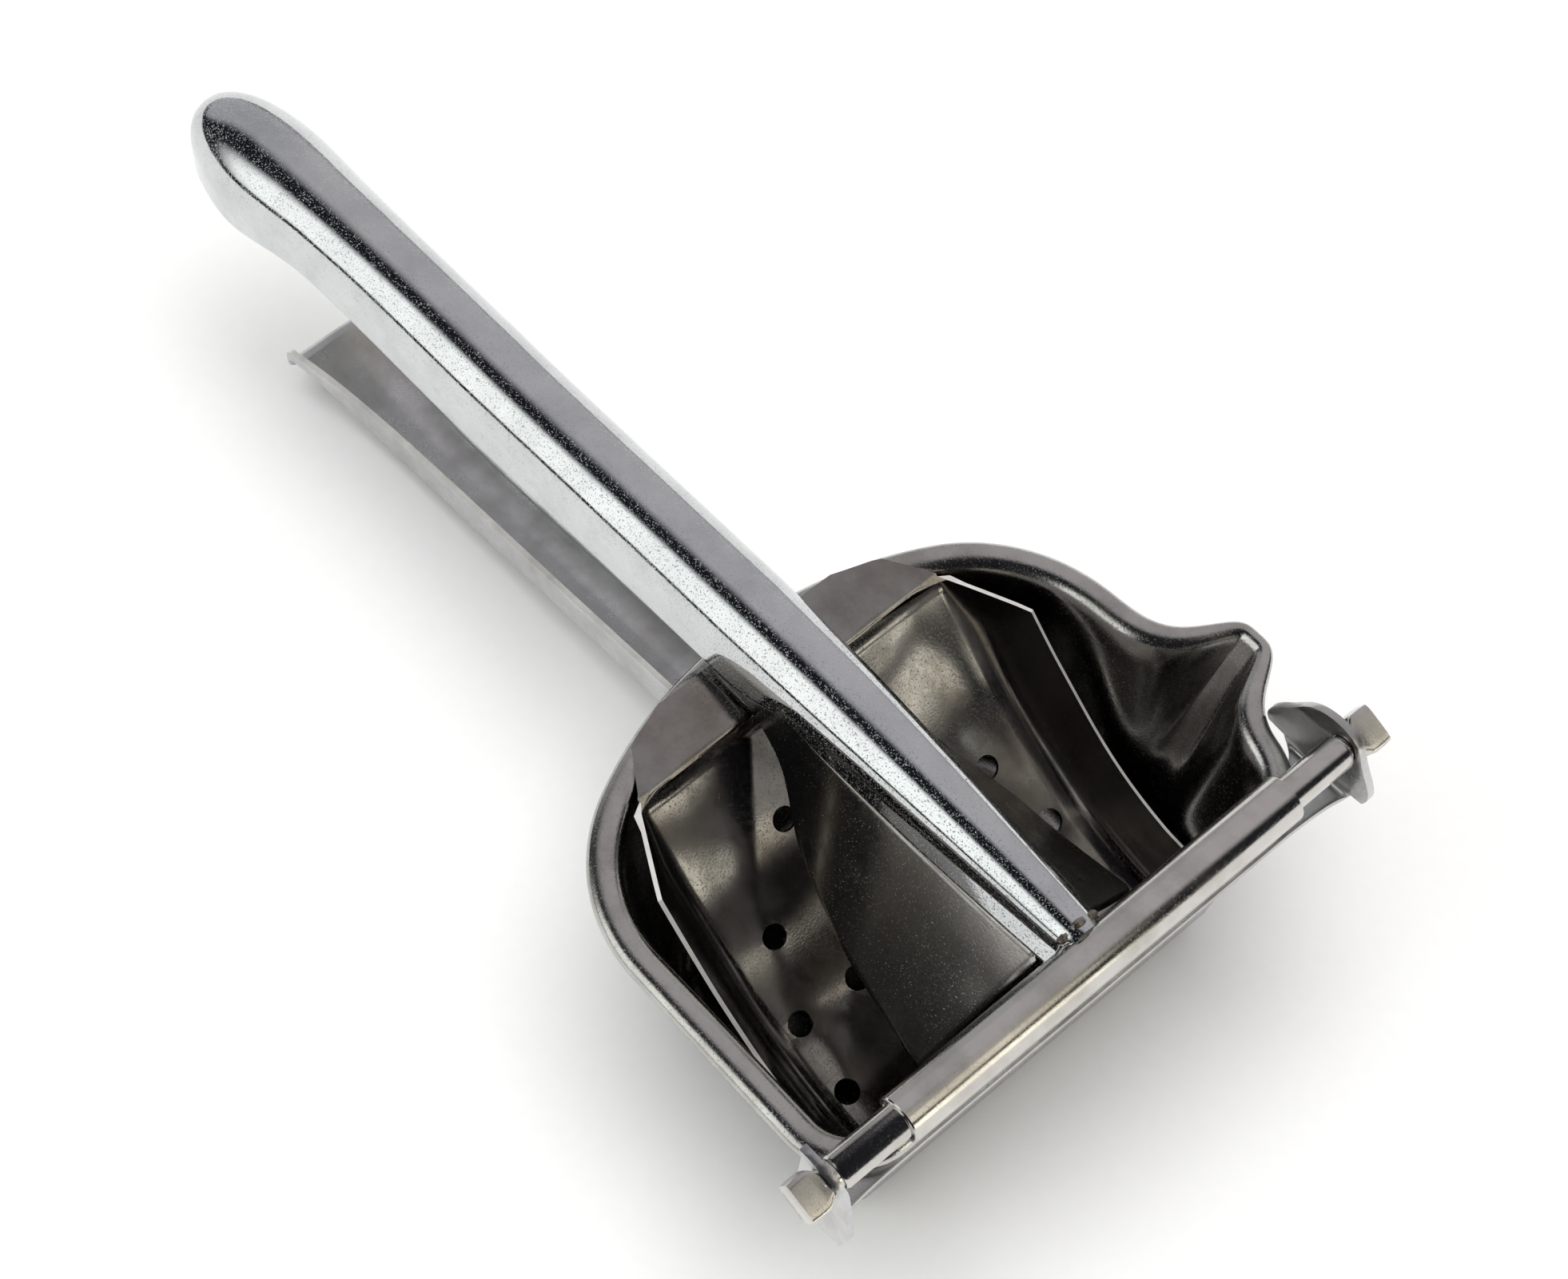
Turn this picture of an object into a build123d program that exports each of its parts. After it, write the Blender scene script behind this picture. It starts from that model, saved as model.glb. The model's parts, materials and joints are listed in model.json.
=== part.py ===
"""Potato ricer: an all-steel hand press, modelled closed.

Axes: +X from the handles toward the hinge, +Y toward the pouring spout, +Z up.
Every shape is worked out about the hinge axis (x = 0, z = 0), and the finished parts are
shifted so that the origin is the middle of the bowl's flat underside.
"""
import os
from math import sqrt

from build123d import *

# ---- sheet and stock ------------------------------------------------------------------
SHEET = 1.2                 # bowl, handles and press plate
FILTER_SHEET = 0.8          # perforated basket
BRACKET_SHEET = 1.5         # strap and ears
RUNNING_GAP = 0.05          # radial clearance of a turning fit

# ---- hinge ----------------------------------------------------------------------------
PIN_R = 3.25
NECK_R = 2.5
PIN_HALF = 65.0             # half of the overall width, over the flattened heads
HEAD_LENGTH = 5.4
HEAD_WIDTH = 8.4
HEAD_THICK = 5.2
SLEEVE_R = 4.5
SLEEVE_HALF = 43.7
EAR_OUT = 59.2              # outer face of each ear

# ---- bowl, measured at the outside of the rim -----------------------------------------
BOWL_HALF = 56.1
BOWL_FRONT = 1.0
BOWL_REAR = -91.3
BOWL_REAR_R = 80.7          # shallow arc across the back
BOWL_CORNER_R = 34.0        # between the back arc and the sides
BOWL_FRONT_R = 14.0
RIM_TOP = -12.0
RIM_WIDTH = 5.0             # from the rim's outside to the wall's outer face
RIM_DROP = 3.4
BOWL_DEPTH = 50.0
WALL_TAPER = 9.0            # degrees
FLOOR_FILLET = 9.0

# ---- spout: a rounded wedge pushed out of the +Y wall ---------------------------------
SPOUT_X = -28.5
SPOUT_TIP = 69.6            # outside of the spout's rim
SPOUT_HALF = 13.0
SPOUT_FALL = 36.0           # the height over which it runs back into the wall

# ---- filter basket --------------------------------------------------------------------
BASKET_FOLD_X = -75.7
BASKET_HALF = 37.0          # floor, to the crease
FLAP_OUT = 6.0
FLAP_UP = 11.0
BASKET_PATH = [(-75.7, -12.4), (-50.5, -38.9), (-38.0, -48.2), (-25.0, -53.4), (-15.5, -55.0)]
FLANGE = [(BASKET_FOLD_X, 34.5), (-84.6, 29.0), (-87.8, 20.0)]     # plan of one half
FLANGE_WEB = 1.2            # metal in the fold between the flange and the floor
HOLE_R = 2.4
HOLE_LEAN = 38              # degrees, square to the middle of the basket floor
HOLE_ROWS = [(-62.5, (-13.0, 13.0)), (-50.5, (-25.7, -8.6, 8.6, 25.7)),
             (-38.0, (-30.6, -17.0, 0.0, 17.0, 30.6)), (-24.5, (-31.4, -15.7, 0.0, 15.7, 31.4))]

# ---- handles: (x, half width, top or rim height, depth) along each one ----------------
UPPER = [(-243.0, 3.2, -8.0, 8.0), (-240.5, 6.4, -5.4, 11.5), (-235.0, 9.2, -2.6, 15.0),
         (-225.0, 11.0, -0.4, 18.0), (-214.0, 10.8, 0.4, 18.4), (-201.0, 9.6, 1.0, 17.8),
         (-188.0, 9.0, 1.4, 17.0), (-150.0, 9.0, 2.3, 16.6), (-118.0, 9.0, 4.2, 16.0),
         (-88.0, 9.0, 6.0, 15.0), (-60.0, 8.0, 6.6, 10.6), (-34.0, 6.4, 5.8, 8.2), (-4.0, 4.2, 3.8, 5.6)]
LOWER = [(-78.0, 8.0, -34.5, 11.5), (-133.0, 8.0, -42.0, 11.0), (-180.0, 8.2, -47.6, 10.6),
         (-198.0, 9.2, -48.6, 9.0), (-208.0, 11.0, -47.2, 6.6), (-213.0, 12.4, -46.0, 5.0)]

NEST_GAP = 0.35             # between the handle's channel and the plate's crown inside it

# ---- hinge bracket: one strap with an ear turned up at each end ----------------------
STRAP_TOP = RIM_TOP - RIM_DROP - 0.4
STRAP_PLAN = [(1.2, 42.0), (3.0, 49.0), (8.2, 56.0), (8.2, 64.0), (-18.0, 64.0), (-18.0, 50.0), (-4.4, 44.0)]
EAR_BEND = 3.0
EAR_BLANK_TOP = 12.0
EAR_SIDE = [(-18.0, -30.0), (-18.0, -13.0), (-10.5, 2.0), (-5.5, 5.6), (1.0, 5.0), (5.6, -0.6), (8.2, -9.0),
            (8.2, -30.0)]
EAR_CORNER_R = 3.0
EAR_SEAT_GAP = 0.3          # how far the strap is let into the radius under the rim

# ---- welds: small beads resting in the corners they join -------------------------------
STRAP_SPOT_R = 1.0
STRAP_SPOTS = [(-3.97, y, STRAP_TOP - BRACKET_SHEET - STRAP_SPOT_R - 0.01) for y in (-36, -18, 0, 18, 36)]
HANDLE_BEAD_R = 1.2
HANDLE_BEADS = [(-82.67, -9.21, -39.0), (-82.67, 9.21, -39.0)]
SLEEVE_BEAD_R = 0.7
SLEEVE_BEADS = [(-3.3, y, 4.03) for y in (-1.5, 0.0, 1.5)]

# ---- press plate: (x, foot half width, foot height) -----------------------------------
PLATE = [(-84.0, 8.6, -9.0), (-76.0, 8.8, -9.8), (-66.0, 10.6, -14.6), (-55.0, 16.2, -22.0),
         (-38.4, 21.3, -28.0), (-28.0, 23.2, -30.4), (-15.1, 25.2, -31.1)]

GROUND = RIM_TOP - BOWL_DEPTH
BOWL_MID = -45.0
PLACE = Pos(-BOWL_MID, 0, -GROUND)


def between(table, x, column):
    """The value in a column of a table whose rows start with x, in rising order."""
    for low, high in zip(table, table[1:]):
        if low[0] <= x <= high[0]:
            share = (x - low[0]) / (high[0] - low[0])
            return low[column] + share * (high[column] - low[column])
    return table[-1][column]


def d_outline(inset):
    """The bowl's D-shaped outline, moved inward by inset."""
    radius = BOWL_REAR_R - inset
    half = BOWL_HALF - inset
    front = BOWL_FRONT - inset
    disc = Pos(BOWL_REAR + BOWL_REAR_R, 0) * Circle(radius)
    band = Pos(front - 150, 0) * Rectangle(300, 2 * half)
    face = (disc & band).face()
    rear = face.vertices().sort_by(Axis.X)[:2]
    face = fillet(rear, BOWL_CORNER_R - inset).face()
    nose = face.vertices().sort_by(Axis.X)[-2:]
    return fillet(nose, max(BOWL_FRONT_R - inset, 2)).face()


def spout_outline(inset):
    """The spout's wedge in plan, pointing out along +Y."""
    tip = SPOUT_TIP - inset
    half = SPOUT_HALF - 0.8 * inset
    wedge = Polyline((SPOUT_X - half, 40), (SPOUT_X - half, 52 - inset), (SPOUT_X - 3, tip),
                     (SPOUT_X + 3, tip), (SPOUT_X + half, 52 - inset), (SPOUT_X + half, 40), close=True)
    face = make_face(wedge).face()
    tips = face.vertices().sort_by(Axis.Y)[-2:]
    return fillet(tips, 4.5 - 0.3 * inset).face()


def cup(inset, floor, top):
    """The solid inside a wall face that lies inset from the rim's outline."""
    height = top - floor
    body = extrude(Pos(0, 0, top) * d_outline(inset), amount=height, taper=WALL_TAPER, dir=(0, 0, -1))
    body = fillet(body.edges().group_by(Axis.Z)[0], FLOOR_FILLET - (inset - RIM_WIDTH))
    lean = (SPOUT_TIP - BOWL_HALF + 4.5) / SPOUT_FALL
    wedge = extrude(Pos(0, 0, top) * spout_outline(inset), amount=SPOUT_FALL, dir=(0, -lean, -1))
    return body + wedge


def bowl():
    """Deep-drawn cup with its spout and a rolled rim."""
    outer = cup(RIM_WIDTH, GROUND, RIM_TOP)
    inner = cup(RIM_WIDTH + SHEET, GROUND + SHEET, RIM_TOP)
    plan = d_outline(0) + spout_outline(0)
    skirt_inner = d_outline(SHEET) + spout_outline(SHEET)
    lip = extrude(Pos(0, 0, RIM_TOP - RIM_DROP) * plan, RIM_DROP)
    under = extrude(Pos(0, 0, RIM_TOP - RIM_DROP) * skirt_inner, RIM_DROP - SHEET)
    return (lip - under + outer) - inner


def basket():
    """Perforated sheet: rear flange on the rim, curved floor, two leaning flaps."""
    path = Spline(*[(x, 0, z) for x, z in BASKET_PATH])
    t = FILTER_SHEET
    half = BASKET_HALF
    section = Polyline((-half - FLAP_OUT, FLAP_UP), (-half, 0), (half, 0), (half + FLAP_OUT, FLAP_UP),
                       (half + FLAP_OUT - t, FLAP_UP), (half - 0.4 * t, t), (-half + 0.4 * t, t),
                       (-half - FLAP_OUT + t, FLAP_UP), close=True)
    start = Plane(origin=path @ 0, x_dir=(0, 1, 0), z_dir=path % 0)
    trough = sweep(start * make_face(section), path=path)
    trough -= Pos(-50, 0, RIM_TOP + 10.01) * Box(120, 120, 20)
    trough -= Pos(BASKET_FOLD_X - 10, 0, -30) * Box(20, 120, 60)
    for x, places in HOLE_ROWS:
        for y in places:
            trough -= Pos(x, y, -35) * Rot(0, HOLE_LEAN, 0) * Cylinder(HOLE_R, 70)
    plan = Polyline(*FLANGE, *[(x, -y) for x, y in reversed(FLANGE)], close=True)
    flange = extrude(Pos(0, 0, RIM_TOP) * make_face(plan), t)
    web = Pos(BASKET_FOLD_X + FLANGE_WEB / 2 - 0.1, 0, RIM_TOP) * Box(FLANGE_WEB, 2 * FLANGE[0][1], 2 * t)
    return flange + web + trough


def channel(rows, inset, overrun):
    """A round-topped channel, open below, lofted along X with its walls moved in by inset."""
    wires = []
    for x, half, crown, depth in rows:
        r = half - inset
        top = crown - inset
        turn = top - r
        low = crown - depth - overrun
        wires.append(Wire([
            Edge.make_line((x, -r, low), (x, -r, turn)),
            Edge.make_three_point_arc((x, -r, turn), (x, 0, top), (x, r, turn)),
            Edge.make_line((x, r, turn), (x, r, low)),
            Edge.make_line((x, r, low), (x, -r, low))]))
    return Solid.make_loft(wires)


def upper_handle():
    """Inverted channel with a closed, widened spoon end, coped to the sleeve at the front."""
    inside = [(UPPER[0][0] + SHEET,) + UPPER[0][1:]] + UPPER[1:-1] + [(UPPER[-1][0] + 1,) + UPPER[-1][1:]]
    body = channel(UPPER, 0, 0) - channel(inside, SHEET, 3)
    return body - Rot(90, 0, 0) * Cylinder(SLEEVE_R + 0.1, 40)


def box_channel(rows, grow, clip):
    """An open-topped channel with a flat floor and rounded corners, lofted along X."""
    wires = []
    for x, half, rim, depth in rows:
        h = half - grow
        floor = rim - depth + grow
        top = rim + clip
        bend = min(4.0, 0.6 * depth) - grow
        k = bend * (1 - sqrt(0.5))
        wires.append(Wire([
            Edge.make_line((x, -h, top), (x, -h, floor + bend)),
            Edge.make_three_point_arc((x, -h, floor + bend), (x, -h + k, floor + k), (x, -h + bend, floor)),
            Edge.make_line((x, -h + bend, floor), (x, h - bend, floor)),
            Edge.make_three_point_arc((x, h - bend, floor), (x, h - k, floor + k), (x, h, floor + bend)),
            Edge.make_line((x, h, floor + bend), (x, h, top)),
            Edge.make_line((x, h, top), (x, -h, top))]))
    return Solid.make_loft(wires, ruled=True)


def lower_handle():
    """Open-topped channel, cut at the front to lie against the bowl's back wall."""
    rows = sorted(LOWER)
    ends = [(rows[0][0] - 1,) + rows[0][1:]] + rows[1:-1] + [(rows[-1][0] + 1,) + rows[-1][1:]]
    body = box_channel(rows, 0, 0) - box_channel(ends, SHEET, 2)
    return body - cup(RIM_WIDTH, GROUND, RIM_TOP)


def plate_wire(x, foot, low, t):
    """One arched section of the press plate, with t taken off its outside."""
    crown = between(UPPER, x, 2) - SHEET - NEST_GAP
    r = between(UPPER, x, 1) - SHEET - NEST_GAP
    z_turn = crown - r
    z_skirt = min(z_turn - 0.4, between(UPPER, x, 2) - between(UPPER, x, 3) + 0.5)
    y_in = r - t
    y_foot = foot - t
    y_mid = y_in + 0.36 * (y_foot - y_in)
    z_mid = z_skirt + 0.62 * (low - z_skirt)
    return Wire([
        Edge.make_spline([(x, -y_foot, low), (x, -y_mid, z_mid), (x, -y_in, z_skirt)]),
        Edge.make_line((x, -y_in, z_skirt), (x, -y_in, z_turn)),
        Edge.make_three_point_arc((x, -y_in, z_turn), (x, 0, crown - t), (x, y_in, z_turn)),
        Edge.make_line((x, y_in, z_turn), (x, y_in, z_skirt)),
        Edge.make_spline([(x, y_in, z_skirt), (x, y_mid, z_mid), (x, y_foot, low)]),
        Edge.make_line((x, y_foot, low), (x, -y_foot, low))])


def press_plate():
    """Arched sheet whose feet flare from inside the handle's skirts to the plate's front corners."""
    overrun = [(x, foot, low - 0.02) for x, foot, low in PLATE]
    overrun[0] = (PLATE[0][0] - 0.5,) + overrun[0][1:]
    overrun[-1] = (PLATE[-1][0] + 0.5,) + overrun[-1][1:]
    outer = Solid.make_loft([plate_wire(x, foot, low, 0) for x, foot, low in PLATE])
    inner = Solid.make_loft([plate_wire(x, foot, low, SHEET) for x, foot, low in overrun])
    return outer - inner


def hinge_sleeve():
    """Rolled tube that turns on the pin."""
    tube = Cylinder(SLEEVE_R, 2 * SLEEVE_HALF) - Cylinder(PIN_R + RUNNING_GAP, 2 * SLEEVE_HALF + 2)
    return Rot(90, 0, 0) * tube


def hinge_pin():
    """Rod with a neck at each ear and a flattened head outside it."""
    neck = PIN_HALF - HEAD_LENGTH
    rod = Cylinder(PIN_R, 2 * (EAR_OUT - BRACKET_SHEET - 0.3)) + Cylinder(NECK_R, 2 * neck + 1)
    for side in (1, -1):
        block = Box(HEAD_WIDTH, HEAD_THICK, HEAD_LENGTH)
        block = fillet(block.edges().filter_by(Axis.Z), 0.9)
        rod += Pos(0, 0, side * (neck + HEAD_LENGTH / 2)) * block
    return Rot(90, 0, 0) * Rot(0, 0, 24) * rod


def hinge_bracket():
    """Strap under the rim at the front, turned up into an ear at each side."""
    t = BRACKET_SHEET
    side = EAR_OUT - t / 2
    mid = STRAP_TOP - t / 2
    path = FilletPolyline((-side, EAR_BLANK_TOP), (-side, mid), (side, mid), (side, EAR_BLANK_TOP),
                          radius=EAR_BEND)
    band = extrude(Plane.YZ.offset(-20) * trace(path, line_width=t), 32)
    plan = Polyline(*STRAP_PLAN, *[(x, -y) for x, y in reversed(STRAP_PLAN)], close=True)
    band &= extrude(Pos(0, 0, -40) * make_face(plan), 60)
    ear = make_face(Polyline(*EAR_SIDE, close=True)).face()
    ear = fillet(ear.vertices().sort_by(Axis.Y)[2:], EAR_CORNER_R).face()
    band &= extrude(Plane.XZ.offset(-70) * ear, 140)
    band -= cup(RIM_WIDTH - EAR_SEAT_GAP, GROUND, RIM_TOP)
    return band - Rot(90, 0, 0) * Cylinder(NECK_R + RUNNING_GAP, 140)


def weld(places, radius):
    """Beads of fused metal at the places."""
    return Compound(children=[Pos(*place) * Sphere(radius) for place in places])


def main():
    os.makedirs("parts", exist_ok=True)
    parts = {
        "bowl": bowl(),
        "lower_handle": lower_handle(),
        "hinge_bracket": hinge_bracket(),
        "filter_basket": basket(),
        "upper_handle": upper_handle(),
        "press_plate": press_plate(),
        "hinge_sleeve": hinge_sleeve(),
        "hinge_pin": hinge_pin(),
        "bracket_welds": weld(STRAP_SPOTS, STRAP_SPOT_R),
        "handle_welds": weld(HANDLE_BEADS, HANDLE_BEAD_R),
        "sleeve_welds": weld(SLEEVE_BEADS, SLEEVE_BEAD_R),
    }
    for node, shape in parts.items():
        export_step(PLACE * shape, f"parts/{node}.step")


main()
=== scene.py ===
# %% [markdown]
# # A steel potato ricer
# This lesson dresses a small hand press made wholly of stainless sheet, tube and bar. The
# bowl is deep drawn, the handles are pressed channels, and a rolled tube turns on a pin.
# Everything is in metres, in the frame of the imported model, so nothing has to be fitted.

# %% Load the frame
import json
import math

import bmesh
import bpy
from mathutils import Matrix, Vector, noise


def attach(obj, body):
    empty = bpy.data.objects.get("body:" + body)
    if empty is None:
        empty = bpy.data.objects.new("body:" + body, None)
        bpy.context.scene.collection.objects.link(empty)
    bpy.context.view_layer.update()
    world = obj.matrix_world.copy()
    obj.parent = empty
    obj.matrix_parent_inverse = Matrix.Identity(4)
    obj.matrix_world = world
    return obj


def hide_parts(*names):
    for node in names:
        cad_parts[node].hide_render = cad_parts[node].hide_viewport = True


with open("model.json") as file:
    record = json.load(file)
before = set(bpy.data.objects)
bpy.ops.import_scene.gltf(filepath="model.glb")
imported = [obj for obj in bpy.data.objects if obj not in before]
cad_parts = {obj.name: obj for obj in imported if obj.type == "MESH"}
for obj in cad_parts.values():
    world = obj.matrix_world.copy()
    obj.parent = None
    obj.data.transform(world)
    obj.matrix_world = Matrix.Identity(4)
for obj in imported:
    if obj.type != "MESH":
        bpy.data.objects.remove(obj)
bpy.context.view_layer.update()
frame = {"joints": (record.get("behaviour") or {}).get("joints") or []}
HINGE = Vector(frame["joints"][0]["pos_m"])

# %% [markdown]
# The shapes are easiest to think of in millimetres from the hinge axis: -X runs along the
# handles, +Y to the spout, +Z up. One function turns such a point into the frame's metres.

# %% Points in millimetres from the hinge
MM = 0.001


def at(x, y, z):
    return Vector((HINGE.x + x * MM, y * MM, HINGE.z + z * MM))


def mix(a, b, share):
    return a + (b - a) * share


def smooth(share):
    share = min(max(share, 0.0), 1.0)
    return share * share * (3 - 2 * share)


def along(rows, x, column):
    """A column of a table read at x, eased through its rows by a cubic (Catmull-Rom)."""
    last = len(rows) - 1
    i = max(k for k in range(last) if k == 0 or rows[k][0] <= x)
    before, low, high, after = (rows[min(max(k, 0), last)] for k in (i - 1, i, i + 1, i + 2))
    t = min(max((x - low[0]) / (high[0] - low[0]), 0.0), 1.0)
    span = high[0] - low[0]
    slope_low = (high[column] - before[column]) / (high[0] - before[0]) * span
    slope_high = (after[column] - low[column]) / (after[0] - low[0]) * span
    return ((2 * t**3 - 3 * t**2 + 1) * low[column] + (t**3 - 2 * t**2 + t) * slope_low
            + (3 * t**2 - 2 * t**3) * high[column] + (t**3 - t**2) * slope_high)


print("a point on the pin:", [round(v, 4) for v in at(0, 0, 0)])

# %% [markdown]
# Pressed metal is a surface with an even thickness. It could be modelled as a solid and cut,
# but a grid of points that is then thickened keeps the sheet even and the highlights smooth.
# A second helper freezes the modifiers, so that the mesh holds what is seen. A third curls
# the end of a sheet over into a lip, as a press does to a raw edge that a hand will touch.

# %% Grids that become sheet
CREASE = math.radians(38)       # edges folded more than this stay sharp
EASED = math.radians(50)        # corners turned more than this are eased


def freeze(piece):
    """The piece's modifiers become its mesh, with every face turned outward."""
    graph = bpy.context.evaluated_depsgraph_get()
    mesh = bpy.data.meshes.new_from_object(piece.evaluated_get(graph))
    piece.modifiers.clear()
    piece.data = mesh
    turned = bmesh.new()
    turned.from_mesh(mesh)
    bmesh.ops.recalc_face_normals(turned, faces=turned.faces)
    turned.to_mesh(mesh)
    turned.free()
    mesh.shade_smooth()
    mesh.set_sharp_from_angle(angle=CREASE)
    return piece


def new_piece(name, points, faces):
    mesh = bpy.data.meshes.new(name)
    mesh.from_pydata(points, [], faces)
    mesh.update()
    piece = bpy.data.objects.new(name, mesh)
    bpy.context.scene.collection.objects.link(piece)
    return piece


def grid(rows, ring=False, cap=False):
    """Points and quads of a grid of rows; ring joins each row's ends, cap closes the last row."""
    width = len(rows[0])
    points = [p for row in rows for p in row]
    steps = width if ring else width - 1
    faces = []
    for i in range(len(rows) - 1):
        for j in range(steps):
            k = (j + 1) % width
            faces.append((i * width + j, i * width + k, (i + 1) * width + k, (i + 1) * width + j))
    if cap:
        faces.append(tuple((len(rows) - 1) * width + j for j in range(width)))
    return points, faces


def lip(row, steps):
    """Rows that curl a sheet's end over, by (along X, downward) steps in millimetres."""
    return [[p + Vector((forward, 0, -down)) * MM for p in row] for forward, down in steps]


def sheet(name, rows, thickness, side, ring=False, cap=False, edge=0.3, sheared=False):
    """A grid given an even thickness in millimetres, with its edges eased, or kept as sheared."""
    piece = new_piece(name, *grid(rows, ring, cap))
    for _ in ("faces", "raw edges"):
        piece.data.materials.append(None)
    thick = piece.modifiers.new("thickness", "SOLIDIFY")
    thick.thickness = thickness * MM
    thick.offset = side
    thick.use_even_offset = True
    thick.material_offset_rim = int(sheared)
    if edge:
        ease = piece.modifiers.new("eased edges", "BEVEL")
        ease.width = edge * MM
        ease.segments = 2
        ease.limit_method = "ANGLE"
        ease.angle_limit = EASED
    return freeze(piece)


def finish_piece(piece, body, material, slot, *nodes):
    """Materials, body and the CAD nodes that the piece stands for; slot is not used."""
    raw = [face.index for face in piece.data.polygons if face.material_index]
    piece.data.materials.clear()
    piece.data.materials.append(material)
    if raw:
        piece.data.materials.append(SHEARED)
        for face in raw:
            piece.data.polygons[face].material_index = 1
    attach(piece, body)
    if nodes:
        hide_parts(*nodes)
    spots = [piece.matrix_world @ v.co for v in piece.data.vertices]
    size = [round((max(p[k] for p in spots) - min(p[k] for p in spots)) / MM, 1) for k in range(3)]
    print(piece.name, len(spots), "points,", size, "mm")


print("creases stay sharp from", round(math.degrees(CREASE)), "degrees")

# %% [markdown]
# ## Materials
# All of it is stainless steel, so the colours hardly differ: what tells the pieces apart is
# how each surface was made. Colours are written as sRGB hex and turned to linear once.

# %% Colour and node helpers
def linear(code):
    """An sRGB hex colour as linear red, green, blue and alpha."""
    parts = [int(code[i:i + 2], 16) / 255 for i in (1, 3, 5)]
    return [v / 12.92 if v <= 0.04045 else ((v + 0.055) / 1.055) ** 2.4 for v in parts] + [1.0]


def node(tree, kind, settings=None, links=None):
    """Adds a node, sets its attributes and sockets, and links the named inputs."""
    made = tree.nodes.new(kind)
    for key, value in (settings or {}).items():
        if isinstance(key, str) and hasattr(made, key):
            setattr(made, key, value)
        else:
            made.inputs[key].default_value = value
    for key, source in (links or {}).items():
        tree.links.new(source, made.inputs[key])
    return made


print("mid grey in linear light:", [round(v, 3) for v in linear("#808080")])

# %% [markdown]
# ### Stainless steel
# Type 304 sheet is bright annealed: nearly a mirror, with a faint orange peel of grains about
# 0.4 mm across, fine scratches from handling, and dull smears. The recipe below lays four
# things over the metal's own shader: peel (bump), fine speckle (bump), smears (roughness) and
# a slow tint (colour). Each finish only changes how strong each one is. The scales are real
# sizes, but the grit marks are drawn coarser than the real ones, or they wouldn't show.

# %% One steel, several finishes
GRAIN = 0.45 * MM       # grains of the orange peel
SPECKLE = 0.34 * MM     # pin-point marks left by grit in the press, drawn coarse
SMEAR = 9.0 * MM        # dull patches left by hands and wiping
HEAT = 2.2 * SMEAR      # straw-coloured patches left by heat
WAVE = 22.0 * MM        # slow waviness of thin sheet
DRAW_LINE = (6 * MM, 0.12 * MM)     # length and width of the lines that a drawing die leaves
PIN_DULL = 0.10         # roughness that a pin-point mark adds


def steel(name, bright, dull, rough, smear_rough, peel, speckle, wave, brushed=0.0, tint="#9a8468",
          tint_amount=0.0, metal=1.0):
    """A stainless finish. bright and dull are hex colours; peel, speckle and wave are in mm."""
    material = bpy.data.materials.new(name)
    material.use_nodes = True
    tree = material.node_tree
    tree.nodes.clear()
    place = node(tree, "ShaderNodeTexCoord").outputs["Object"]
    smears = node(tree, "ShaderNodeTexNoise", {"Scale": 1 / SMEAR, "Detail": 5.0, "Roughness": 0.62},
                  {"Vector": place})
    patch = node(tree, "ShaderNodeMapRange", {"From Min": 0.42, "From Max": 0.68},
                 {"Value": smears.outputs["Fac"]})
    colour = node(tree, "ShaderNodeMix", {"data_type": "RGBA", 6: linear(bright), 7: linear(dull)},
                  {"Factor": patch.outputs["Result"]}).outputs[2]
    if tint_amount:
        heat = node(tree, "ShaderNodeTexNoise", {"Scale": 1 / HEAT, "Detail": 3.0}, {"Vector": place})
        warm = node(tree, "ShaderNodeMapRange", {"From Min": 0.5, "From Max": 0.75, "To Max": tint_amount},
                    {"Value": heat.outputs["Fac"]})
        colour = node(tree, "ShaderNodeMix", {"data_type": "RGBA", 7: linear(tint)},
                      {"Factor": warm.outputs["Result"], 6: colour}).outputs[2]
    specks = node(tree, "ShaderNodeTexNoise", {"Scale": 1 / SPECKLE, "Detail": 2.0, "Roughness": 0.7},
                  {"Vector": place})
    pin_points = node(tree, "ShaderNodeMapRange", {"From Min": 0.60, "From Max": 0.72},
                      {"Value": specks.outputs["Fac"]})
    rough_patch = node(tree, "ShaderNodeMapRange", {"From Min": 0.38, "From Max": 0.72, "To Min": rough,
                                                    "To Max": smear_rough}, {"Value": smears.outputs["Fac"]})
    rough_all = node(tree, "ShaderNodeMath", {"operation": "MULTIPLY_ADD", 1: PIN_DULL},
                     {0: pin_points.outputs["Result"], 2: rough_patch.outputs["Result"]})
    grains = node(tree, "ShaderNodeTexNoise", {"Scale": 1 / GRAIN, "Detail": 2.0}, {"Vector": place})
    waves = node(tree, "ShaderNodeTexNoise", {"Scale": 1 / WAVE, "Detail": 1.0}, {"Vector": place})
    layers = [(waves.outputs["Fac"], wave), (grains.outputs["Fac"], peel),
              (pin_points.outputs["Result"], speckle)]
    if brushed:
        long, fine = DRAW_LINE
        lines = node(tree, "ShaderNodeMapping", {"Scale": (1 / long, 1 / fine, 1 / long)}, {"Vector": place})
        strokes = node(tree, "ShaderNodeTexNoise", {"Scale": 1.0, "Detail": 2.0},
                       {"Vector": lines.outputs[0]})
        layers.append((strokes.outputs["Fac"], brushed))
    below = {}
    for height, depth in layers:
        relief = node(tree, "ShaderNodeBump", {"Strength": 1.0, "Distance": depth * MM},
                      {"Height": height, **below})
        below = {"Normal": relief.outputs["Normal"]}
    shader = node(tree, "ShaderNodeBsdfPrincipled", {"Metallic": metal},
                  {"Base Color": colour, "Roughness": rough_all.outputs[0], **below})
    node(tree, "ShaderNodeOutputMaterial", {}, {"Surface": shader.outputs[0]})
    return material


# Buffed on a wheel: nearly a mirror, with grit marks that twinkle.
POLISHED = steel("polished_304_sheet", "#d0d2d3", "#c4c6c8", 0.06, 0.12, 0.006, 0.045, 0.08)
# Stretched over a punch: the grains rise, so the shine is broad and satin.
DRAWN = steel("deep_drawn_satin_304", "#bcbab7", "#a6a4a0", 0.17, 0.28, 0.022, 0.016, 0.06)
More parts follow.
